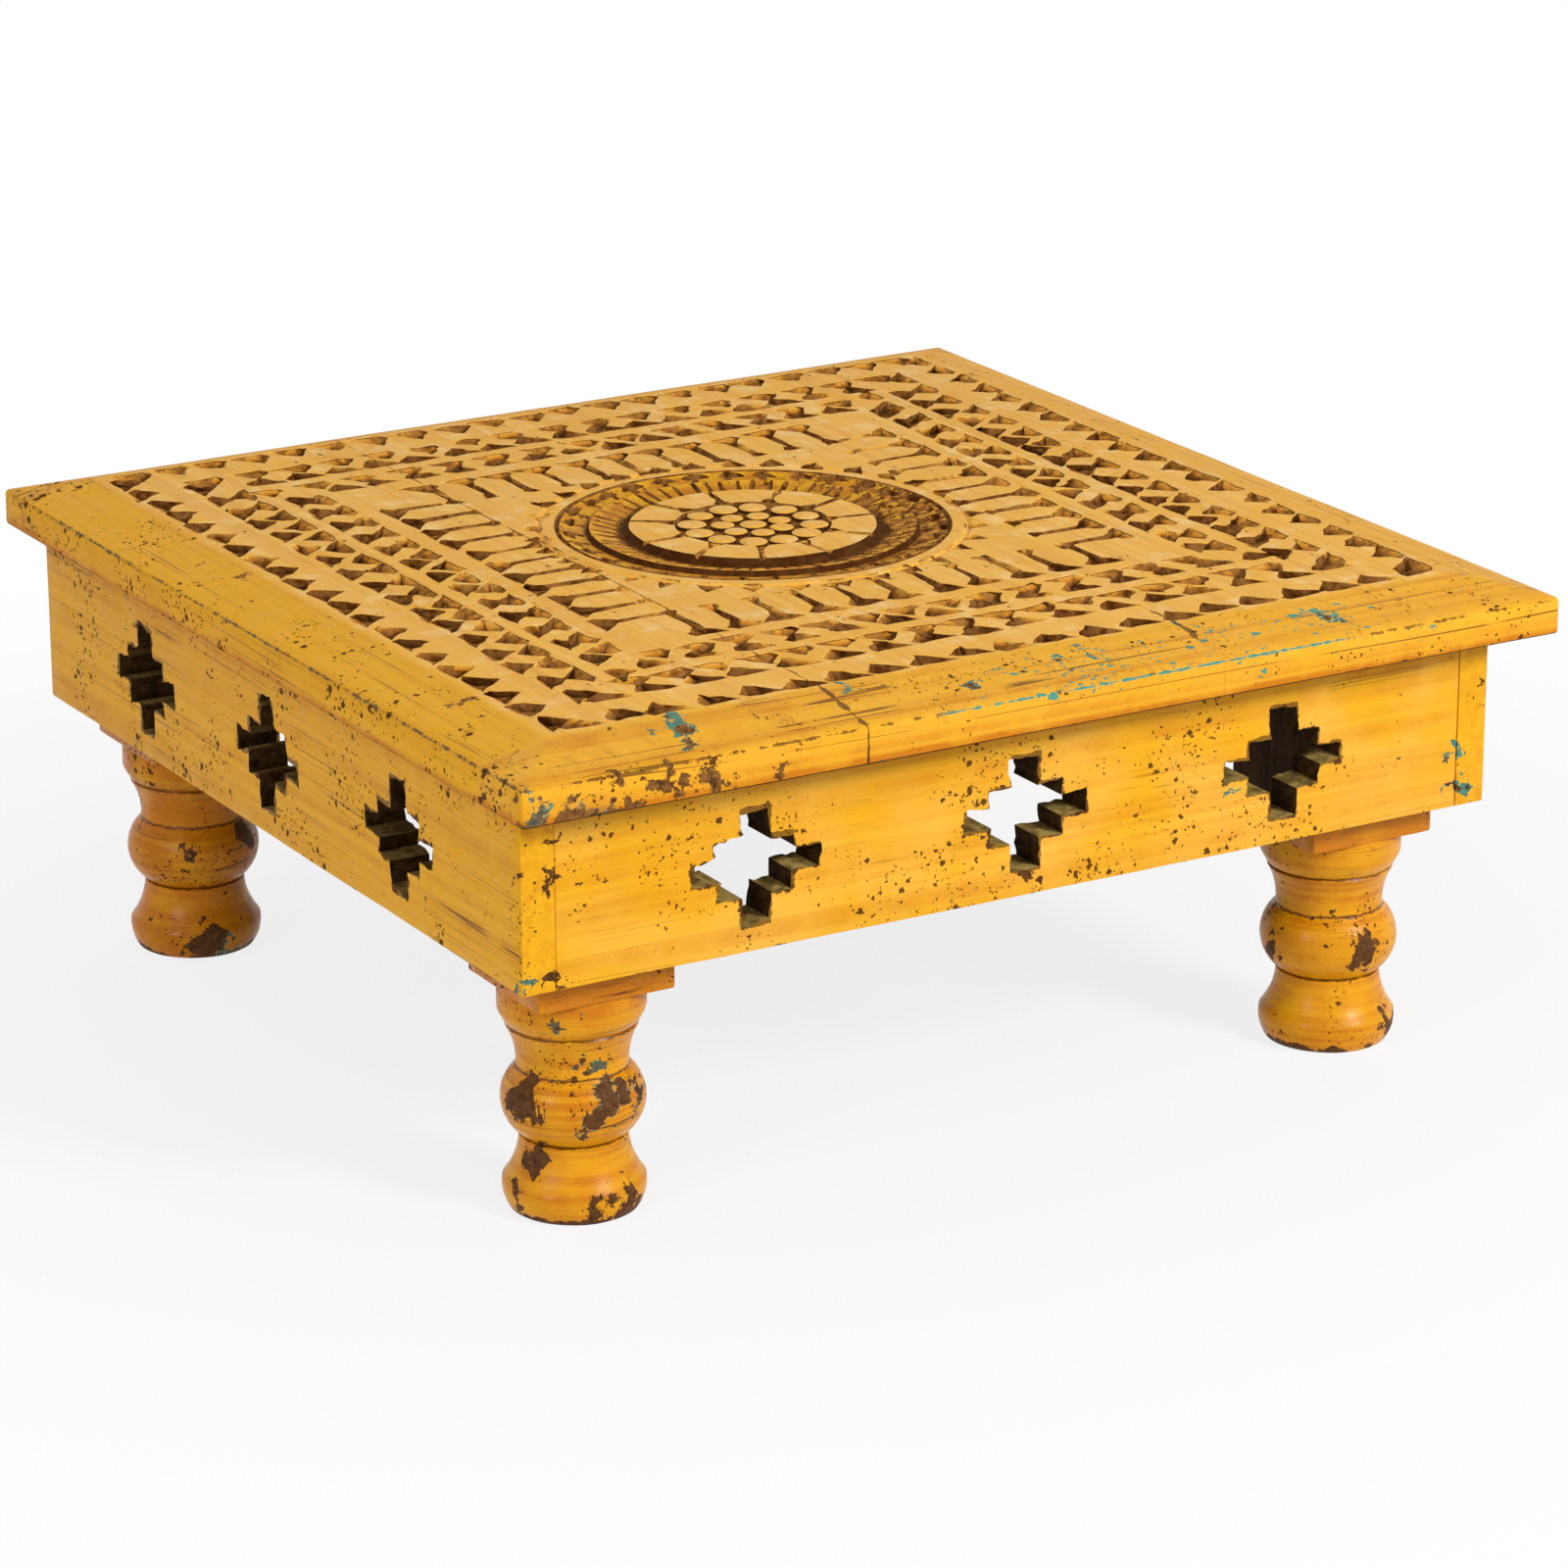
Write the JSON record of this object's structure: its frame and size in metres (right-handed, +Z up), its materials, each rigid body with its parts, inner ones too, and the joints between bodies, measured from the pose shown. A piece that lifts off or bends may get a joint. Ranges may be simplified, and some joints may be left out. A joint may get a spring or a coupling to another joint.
{
  "type": "low coffee table",
  "caption": "Low square wooden table with a chip-carved plank top and round medallion, a board frame pierced by stepped cross cut-outs and squat turned legs, painted a worn ochre yellow.",
  "frame": {"origin": "centre of the top's square outline, on the floor under the feet", "axes": "+Z up, +X to the right along the front board, +Y to the back"},
  "size_m": [0.45, 0.45, 0.1915],
  "materials": {
    "painted_top": "worn satin ochre paint over teal undercoat, dark dirt in the carving",
    "painted_frame": "worn satin ochre paint with grain lines and flaked arrises",
    "painted_legs": "worn satin ochre paint with flaked patches",
    "nail_steel": "plain drawn wire",
    "dowel_wood": "plain turned wood"
  },
  "bodies": {
    "root": {"top_plank_left": "painted_top", "top_plank_middle": "painted_top", "top_plank_right": "painted_top", "apron_front": "painted_frame", "apron_back": "painted_frame", "apron_left": "painted_frame", "apron_right": "painted_frame", "leg_front_left": "painted_legs", "leg_front_right": "painted_legs", "leg_back_left": "painted_legs", "leg_back_right": "painted_legs", "corner_nails_left": "nail_steel", "corner_nails_right": "nail_steel", "leg_nails_front_left": "nail_steel", "leg_nails_front_right": "nail_steel", "leg_nails_back_left": "nail_steel", "leg_nails_back_right": "nail_steel", "top_nails_left": "nail_steel", "top_nails_middle": "nail_steel", "top_nails_right": "nail_steel", "seam_dowels_left": "dowel_wood", "seam_dowels_right": "dowel_wood"}
  },
  "joints": []
}
